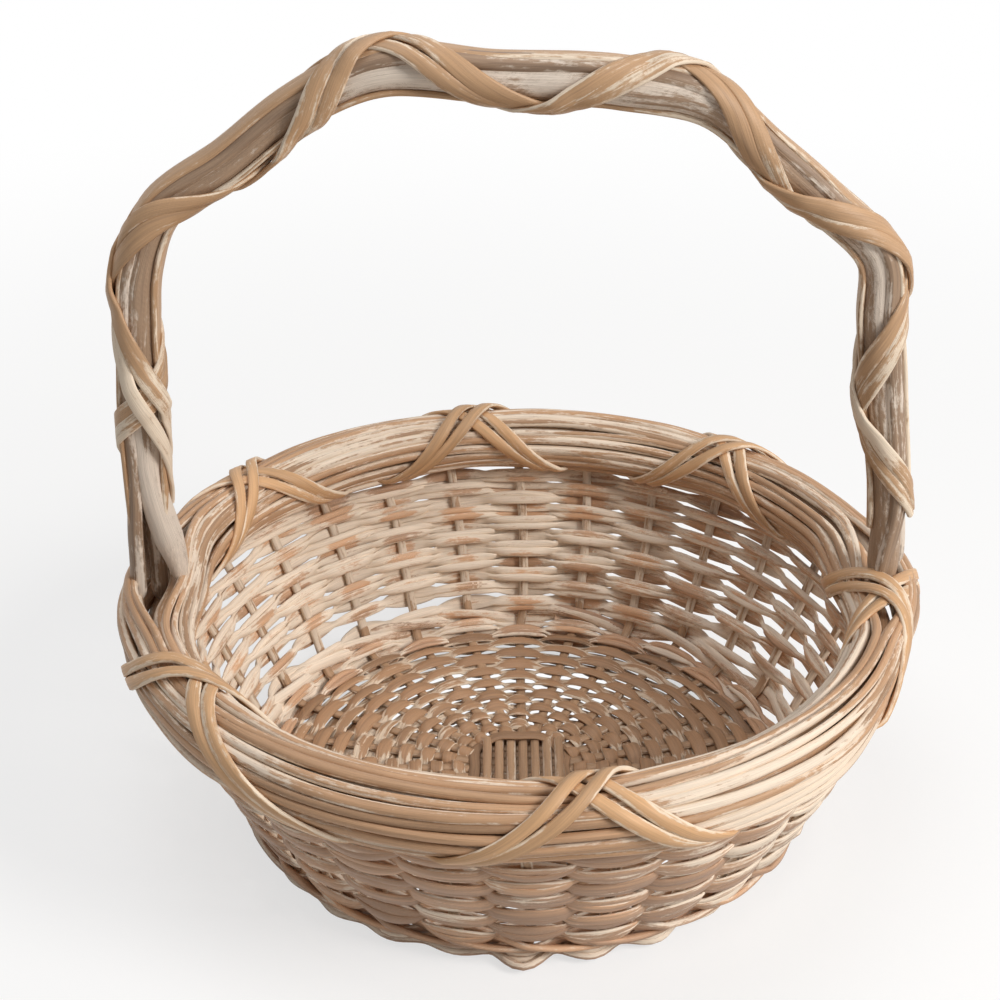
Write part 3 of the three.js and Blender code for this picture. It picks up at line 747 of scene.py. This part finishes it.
# Rim: a rolled bundle of long split rods round the tips of the stakes, each wandering slowly round in it.
# The rods part round the two feet of the handle, draw together under the lashings and loosen between them.
RIM_RODS = 20
RIM_TWIST = 3
RIM_ROD_HALF_WIDTH = 0.0022
RIM_ROD_HALF_THICKNESS = 0.0022
RIM_CORE_RODS = 5
CORE_RING = 0.0072
CORE_PARTING = 0.005
CORE_HALF_WIDTH = 0.0034
CORE_HALF_THICKNESS = 0.0030
RIM_PARTS = 8
TIED_LESS = 0.0013
PINCHED_LESS = 0.0070
LEFT_FOOT_MORE = 0.0036
RIGHT_FOOT_MORE = 0.0040
RIGHT_FOOT_MIDDLE = 6.8755
HANDLE_FEET = [0, 180]
PARTING_REACH = 0.36
PARTING_GAP = 0.0098
PARTING_DIP = 0.0022
LASHING_REACH = 0.26
LASHING_ANGLES = {"front": 276.5, "right": 353.0, "back_right": 49.0, "back": 99.0, "left_back": 146.0,
                  "left_front": 210.5}


def tied(angle):
    """1 under the middle of each lashing, falling to 0 beside it."""
    return sum(near_angle(angle, place, LASHING_REACH) for place in LASHING_ANGLES.values())


def bundle_size(angle, turn):
    """How far the rim's surface lies from its middle: less where tied or pinched, more beside a foot."""
    outer_side = np.clip(np.cos(turn), 0, 1)
    pinched = near_angle(angle, 340, 0.52) * outer_side
    beside_left = near_angle(angle, 180, 0.26) * np.abs(np.cos(turn)) * (1 - 0.8 * outer_side)
    beside_right = near_angle(angle, RIGHT_FOOT_MIDDLE, 0.28) * np.abs(np.cos(turn))
    less = TIED_LESS * tied(angle) + PINCHED_LESS * pinched
    return BUNDLE_RADIUS - less + LEFT_FOOT_MORE * beside_left + RIGHT_FOOT_MORE * beside_right


rng = np.random.default_rng(31)
rim_finish = willow("rim_willow", bare=(0.59, 0.355, 0.205), deep=(0.32, 0.195, 0.115),
                    wash=(0.90, 0.765, 0.625), washed=0.37, wear=0.66, edges=0.62, streaks=1.9)
rim_rods = []
angle = np.linspace(0, 2 * math.pi, 241)
share = angle / (2 * math.pi)
stray = strays(rng, share)
loose = near_angle(angle, 318, 0.5) + near_angle(angle, 190, 0.4)
# Paler at the right front, where the main lamp falls, as painted light, and a little at the back.
paler = 0.8 * near_angle(angle, 306, 0.52) + 0.20 * near_angle(angle, 90, 1.2)
browner = 0.6 * near_angle(angle, 262, 0.7) + 0.3 * near_angle(angle, 30, 0.8)
for number in range(RIM_RODS):
    turn = (number + RIM_TWIST * share) * 2 * math.pi / RIM_RODS + stray(0.10, 13)
    ring = bundle_size(angle, turn) - RIM_ROD_HALF_THICKNESS + stray(0.0007, 15) * (1 + 1.5 * loose)
    outward = ring * np.cos(turn)
    upward = ring * np.sin(turn)
    for foot in HANDLE_FEET:
        part = near_angle(angle, foot, PARTING_REACH) * np.clip(upward / 0.005 + 1.0, 0, 1)
        moved = PARTING_GAP + np.abs(outward) * (1 - PARTING_GAP / (BUNDLE_RADIUS + 0.003))
        outward = outward + part * np.sign(outward) * (moved - np.abs(outward))
        upward = upward - part * PARTING_DIP
    path = round_the_basket(angle, RIM_RADIUS + outward, RIM_HEIGHT + upward)
    facing = round_the_basket(angle, np.cos(turn), np.sin(turn))
    half_width = (RIM_ROD_HALF_WIDTH - 0.0002 * tied(angle) - 0.0005 * loose) * (1 + stray(0.20, 9))
    wear_and_shading = 0.78 + rng.uniform(-0.3, 0.3) + stray(0.45, 11) - paler + browner
    rim_rods.append(a_rod(path, facing, half_width, RIM_ROD_HALF_THICKNESS, wear_and_shading, rng))
for number in range(RIM_CORE_RODS):
    turn = number * 2 * math.pi / RIM_CORE_RODS + 0.6
    ring = CORE_RING - 0.0012 * near_angle(angle, 338, 0.50)
    beside_foot = sum(near_angle(angle, foot, 0.2) for foot in HANDLE_FEET)
    outward = ring * np.cos(turn) + beside_foot * CORE_PARTING * np.sign(np.cos(turn))
    path = round_the_basket(angle, RIM_RADIUS + outward, RIM_HEIGHT + ring * np.sin(turn))
    facing = round_the_basket(angle, np.cos(turn), np.sin(turn))
    rim_rods.append(a_rod(path, facing, CORE_HALF_WIDTH, CORE_HALF_THICKNESS, 0.9, rng))
for k in range(RIM_PARTS):
    node = f"rim_rod_outer_{k + 1}" if k < RIM_PARTS // 2 else f"rim_rod_inner_{k - RIM_PARTS // 2 + 1}"
    make_piece(f"rim_rods_{k + 1}", rim_rods[k::RIM_PARTS], rim_finish, [node],
               squareness=0.22, knobbliness=0.16, knob_size=45.0)

# Lashings: at six places a pair of split rods goes over the rim and down inside, and a second pair goes back
# across it. They are satin tan willow skin, laid side by side, and the pairs cross on top of the rim.
LASHING_HALF_SPAN = 16.5
LASHING_HALF_SPANS = {"front": 17.8, "left_back": 19.0, "right": 21.5}
LASHING_SHIFTS = {"front": (1.5, 2.0), "left_front": (-0.5, 6.0)}
LASHING_RUNS = {"left_front": ((1.0, 1.8), (1.75, 1.3))}
LASHING_TURN = 150.0
LASHING_LIFT = 0.0024
LASHING_GAP = 0.0010
LASHING_PITCH = 0.0060
LASHING_HALF_WIDTH = 0.0031
LASHING_HALF_THICKNESS = 0.00115
TUCK_DEPTH = 0.0050


def lashing_strand(centre, half_span, runs, direction, strand, lift, rng):
    """One split rod of a lashing pair, from low outside the rim over its top to low inside it."""
    turn = np.linspace(-1, 1, 72)
    stray = strays(rng, np.linspace(0, 1, 72), closed=False)
    round_bundle = math.pi / 2 + turn * math.radians(LASHING_TURN)
    along = (0.80 * turn + 0.34 * turn ** 3) * np.where(turn < 0, runs[0], runs[1])
    angle = math.radians(centre) + direction * math.radians(half_span) * along
    apart = LASHING_PITCH - 0.0014 * np.abs(turn) + stray(0.0006, 5)
    angle = angle + strand * apart / RIM_RADIUS * (1 - 0.1 * np.abs(turn))
    raised = lift * np.clip(1.35 - np.abs(turn) * 3.0, 0, 1)
    tucked = TUCK_DEPTH * np.clip(np.abs(turn) - 0.90, 0, 1) / 0.10
    ring = bundle_size(angle, round_bundle) + LASHING_GAP + raised + stray(0.0003, 6) - tucked
    outward = np.cos(round_bundle)
    upward = np.sin(round_bundle)
    path = round_the_basket(angle, RIM_RADIUS + ring * outward, RIM_HEIGHT + ring * upward)
    facing = round_the_basket(angle, outward, upward)
    half_width = LASHING_HALF_WIDTH * (1 - 0.25 * np.abs(turn) ** 4) * (1 + stray(0.1, 7))
    return a_rod(path, facing, half_width, LASHING_HALF_THICKNESS, 0.85 + stray(0.4, 6), rng)


rng = np.random.default_rng(43)
lashing_finish = willow("lashing_willow", bare=(0.70, 0.42, 0.22), deep=(0.47, 0.285, 0.155),
                        wash=(0.90, 0.76, 0.60), washed=0.26, wear=0.6, edges=0.62, fibres=0.45, streaks=1.3)
for place, centre in LASHING_ANGLES.items():
    half_span = LASHING_HALF_SPANS.get(place, LASHING_HALF_SPAN)
    shifts = LASHING_SHIFTS.get(place, (0.0, 0.0))
    run_pairs = LASHING_RUNS.get(place, ((1.0, 1.0), (1.0, 1.0)))
    for k, (layer, direction, lift) in enumerate([("over", 1, LASHING_LIFT), ("under", -1, 0.0)]):
        rods = [lashing_strand(centre + shifts[k], half_span, run_pairs[k], direction, strand, lift, rng)
                for strand in (-1, 1)]
        make_piece(f"split_rods_{layer}_{place}", rods, lashing_finish,
                   [f"lashing_{layer}_{place}"], squareness=0.45, knobbliness=0.08)

# Handle: a fixed bow of one thick whitewashed stick and three thinner ones, whose feet stand in the rim.
# Two flat split rods lie along it, outside and inside. Two pairs of split rods wind round it opposite ways.
ARCH = [(-0.165, 0.099), (-0.165, 0.120), (-0.1662, 0.144), (-0.166, 0.184), (-0.1638, 0.238),
        (-0.1605, 0.265), (-0.150, 0.290), (-0.1205, 0.3112), (-0.0908, 0.334), (-0.057, 0.349),
        (-0.012, 0.3465), (0.039, 0.344), (0.075, 0.3362), (0.1005, 0.3155), (0.124, 0.2948), (0.1485, 0.270),
        (0.152, 0.242), (0.1575, 0.202), (0.163, 0.162), (0.165, 0.130), (0.165, 0.099)]
THICKNESS = [(0.0, 1.0), (0.06, 1.0), (0.099, 1.14), (0.129, 1.02), (0.156, 1.05), (0.174, 0.98),
             (0.203, 1.0), (0.26, 1.0), (0.291, 1.12), (0.311, 1.20), (0.328, 1.18), (0.352, 1.10),
             (0.375, 1.15), (0.40, 1.18), (0.424, 1.18), (0.438, 1.02), (0.455, 0.93), (0.474, 0.93),
             (0.49, 1.0), (0.538, 0.98), (0.557, 1.06), (0.579, 1.14), (0.604, 1.08), (0.629, 1.04),
             (0.654, 1.0), (0.71, 1.0)]
WINDINGS = {
    "first": [(0.074, 60), (0.090, 0), (0.104, -90), (0.122, -180), (0.166, -360), (0.195, -450),
              (0.224, -540), (0.304, -700), (0.328, -782), (0.362, -872), (0.426, -1065), (0.455, -1155),
              (0.491, -1250), (0.553, -1440), (0.576, -1530), (0.602, -1620), (0.645, -1750)],
    "second": [(0.050, -250), (0.083, -180), (0.120, -90), (0.155, 0), (0.261, 195), (0.284, 290),
               (0.302, 380), (0.373, 568), (0.400, 658), (0.426, 745), (0.481, 915), (0.513, 1000),
               (0.543, 1080), (0.607, 1260), (0.634, 1350), (0.660, 1440)],
}
BACKWARDS = np.array([0.0, 1.0, 0.0])
ARCH_STEP = 0.004
LEFT_SHOULDER = (0.14, 0.18, 0.26, 0.31)
LEFT_LEG_WASHED = (-0.105, -0.070)
RIGHT_LEG_WASHED = (-0.075, -0.055)
RIGHT_LEG_BARER = (0.50, 0.56)
LEFT_FOOT = 0.080
RIGHT_FOOT = 0.060
END_GAP = 0.001
THICK_TIP = (0.022, 0.35)
THIN_TIP = (0.004, 0.6)
LATH_HALF_THICKNESS = 0.0015
LATH_TIP = (0.012, 0.5)
WINDING_RING = 0.0099
WINDING_LIFT = 0.0020
WINDING_APART = 0.72
WINDING_HALF_WIDTH = 0.0039
WINDING_HALF_THICKNESS = 0.0012
WINDING_TIP = (0.020, 0.5)
LEFT_LEG_PALER = (0.11, 0.15)
RIGHT_LEG_PALER = (0.54, 0.58)


def through_points(points, per_span=24):
    """A smooth line through points, of the same kind as the CAD part's arch."""
    points = np.asarray(points, float)
    points = np.concatenate([[2 * points[0] - points[1]], points, [2 * points[-1] - points[-2]]])
    line = []
    for k in range(1, len(points) - 2):
        a, b, c, d = points[k - 1:k + 3]
        t1 = np.linalg.norm(b - a) ** 0.5
        t2 = t1 + np.linalg.norm(c - b) ** 0.5
        t3 = t2 + np.linalg.norm(d - c) ** 0.5
        t = np.linspace(t1, t2, per_span, endpoint=False)[:, None]
        ab = (t1 - t) / t1 * a + t / t1 * b
        bc = (t2 - t) / (t2 - t1) * b + (t - t1) / (t2 - t1) * c
        cd = (t3 - t) / (t3 - t2) * c + (t - t2) / (t3 - t2) * d
        abc = (t2 - t) / t2 * ab + t / t2 * bc
        bcd = (t3 - t) / (t3 - t1) * bc + (t - t1) / (t3 - t1) * cd
        line.append((t2 - t) / (t2 - t1) * abc + (t - t1) / (t2 - t1) * bcd)
    return np.concatenate(line + [points[-2:-1]])


arch_line = through_points(ARCH)
arch_steps = lengths_along(arch_line)
arch_length = arch_steps[-1]


def arch_at(length):
    """Point on the handle's middle line at a length along it, with its outward direction."""
    x, x1, x2 = (np.interp(length + step, arch_steps, arch_line[:, 0]) for step in (0, -ARCH_STEP, ARCH_STEP))
    z, z1, z2 = (np.interp(length + step, arch_steps, arch_line[:, 1]) for step in (0, -ARCH_STEP, ARCH_STEP))
    y = np.zeros_like(x)
    ahead = unit(np.stack([x2 - x1, y, z2 - z1], -1))
    return np.stack([x, y, z], -1), np.stack([-ahead[:, 2], y, ahead[:, 0]], -1)


def off_arch(length, turn, radius):
    """A point off the handle's middle line, at a turn from outward towards the back, and its facing."""
    point, out = arch_at(length)
    facing = tilted(out, BACKWARDS, turn)
    return point + facing * radius[:, None], facing


def evened(length, table, reach, count):
    """A table's value at a length along the handle, evened out over a reach to both sides."""
    marks, values = np.array(table).T
    steps = np.linspace(-reach, reach, count)
    return np.mean([np.interp(length + step, marks, values) for step in steps], axis=0)


def thickness_at(length):
    """How thick the handle is at a length along it, against its usual thickness."""
    return evened(length, THICKNESS, 0.012, 5)


def winding_turn(layer, length):
    """Where a winding stands round the handle at a length along it, from where it is seen to pass."""
    return np.radians(evened(length, WINDINGS[layer], 0.010, 7))


def smooth_step(values, low, high):
    """0 up to a low value, 1 from a high one, and a smooth rise between them."""
    return eased(np.clip((values - low) / (high - low), 0, 1))


def on_shaded_shoulder(length):
    """1 along the handle's left shoulder, which faces away from the main lamp and is painted browner as
    shade, else 0.
    """
    start, full, fading, end = LEFT_SHOULDER
    return smooth_step(length, start, full) * (1 - smooth_step(length, fading, end))


rng = np.random.default_rng(59)
handle_finish = willow("handle_willow", bare=(0.42, 0.285, 0.19), deep=(0.20, 0.135, 0.095),
                       wash=(0.79, 0.69, 0.595), washed=0.38, wear=0.4, edges=0.2, fibres=0.7)
winding_finish = willow("winding_willow", bare=(0.54, 0.335, 0.19), deep=(0.24, 0.15, 0.095),
                        wash=(0.86, 0.735, 0.59), washed=0.28, wear=0.7, edges=0.34, fibres=0.5, streaks=1.4)
lengths = np.linspace(END_GAP, arch_length - END_GAP, 260)
bow_sticks = []
for turn, ring, half_width, half_thickness, start, end, left_in, right_in, left_wash, right_wash in [
    (-2.5, 0.0008, 0.0072, 0.0066, 0.012, 0.001, 0.0088, 0.0, 1.5, 0.0),
    (1.5, 0.0052, 0.0044, 0.0038, 0.001, 0.001, 0.0, 0.0, 0.0, 0.0),
    (-0.7, 0.0062, 0.0040, 0.0030, 0.006, 0.016, -0.0050, 0.0055, 0.0, 0.0),
    (0.7, 0.0062, 0.0036, 0.0030, 0.010, 0.020, -0.0020, -0.0020, 0.0, 1.3),
]:
    at = lengths[(lengths >= start) & (lengths <= arch_length - end)]
    to_end = arch_length - at
    stray = strays(rng, at / arch_length, closed=False)
    turns = turn + stray(0.3, 6)
    thicker = thickness_at(at)
    path, facing = off_arch(at, turns, thicker * ring + stray(0.0005, 8))
    moved = left_in * smooth_step(-at, -LEFT_FOOT, -start)
    moved = moved - right_in * smooth_step(-to_end, -RIGHT_FOOT, -end)
    path = path + moved[:, None] * SIDEWAYS
    tip_length, tip_size = THICK_TIP if left_wash else THIN_TIP
    girth = thicker * (1 + stray(0.10, 11)) * pointed(path, tip_length, tip_size)
    # Less wash on the left shoulder is painted shade.
    wear_and_shading = 0.5 + stray(0.45, 9) + 0.35 * smooth_step(at, *RIGHT_LEG_BARER) + 0.4 * on_shaded_shoulder(at)
    wear_and_shading = wear_and_shading - left_wash * smooth_step(-at, *LEFT_LEG_WASHED)
    wear_and_shading = wear_and_shading - right_wash * smooth_step(-to_end, *RIGHT_LEG_WASHED)
    bow_sticks.append(a_rod(path, facing, half_width * girth, half_thickness * girth, wear_and_shading, rng))
make_piece("handle_sticks", bow_sticks, handle_finish, ["handle_bow"],
           sides=16, squareness=0.12, knobbliness=0.22, knob_size=40.0)

laths = []
for turn, ring, half_width, end in [(0.0, 0.0078, 0.0062, 0.026), (math.pi, 0.0076, 0.0056, 0.020)]:
    at = lengths[(lengths > end) & (lengths < arch_length - 2 * end)]
    stray = strays(rng, at / arch_length, closed=False)
    path, facing = off_arch(at, turn + stray(0.22, 8), ring * thickness_at(at))
    half_width = half_width * pointed(path, *LATH_TIP) * (1 + stray(0.14, 9))
    laths.append(a_rod(path, facing, half_width, LATH_HALF_THICKNESS, 0.75 + stray(0.4, 9), rng))
make_piece("handle_split_rods", laths, winding_finish, ["handle_lath"],
           sides=10, squareness=0.4)

for layer, marks in WINDINGS.items():
    for strand in (0, 1):
        at = np.linspace(marks[0][0], marks[-1][0], 440)
        stray = strays(rng, at / arch_length, closed=False)
        apart = winding_turn("second", at) - winding_turn("first", at)
        apart = np.abs((apart + math.pi) % (2 * math.pi) - math.pi)
        lifted = np.clip(1.9 - apart / 0.8, 0, 1) if layer == "second" else 0.0
        turn = winding_turn(layer, at) + (strand - 0.5) * WINDING_APART + stray(0.12, 14)
        ring = WINDING_RING * thickness_at(at) + WINDING_LIFT * lifted + stray(0.0004, 16)
        path, facing = off_arch(at, turn, ring)
        half_width = WINDING_HALF_WIDTH * pointed(path, *WINDING_TIP) * (1 + stray(0.16, 12))
        # The windings also get less wash on the left shoulder: painted shade.
        wear_and_shading = 0.8 + stray(0.6, 16) + 0.4 * on_shaded_shoulder(at)
        wear_and_shading = wear_and_shading - 0.35 * (1 - smooth_step(at, *LEFT_LEG_PALER))
        wear_and_shading = wear_and_shading - 0.15 * smooth_step(at, *RIGHT_LEG_PALER)
        rods = [a_rod(path, facing, half_width, WINDING_HALF_THICKNESS, wear_and_shading, rng)]
        make_piece(f"handle_winding_{layer}_{strand + 1}", rods, winding_finish,
                   [f"handle_wrap_{layer}_{strand + 1}"], squareness=0.4, knobbliness=0.14)
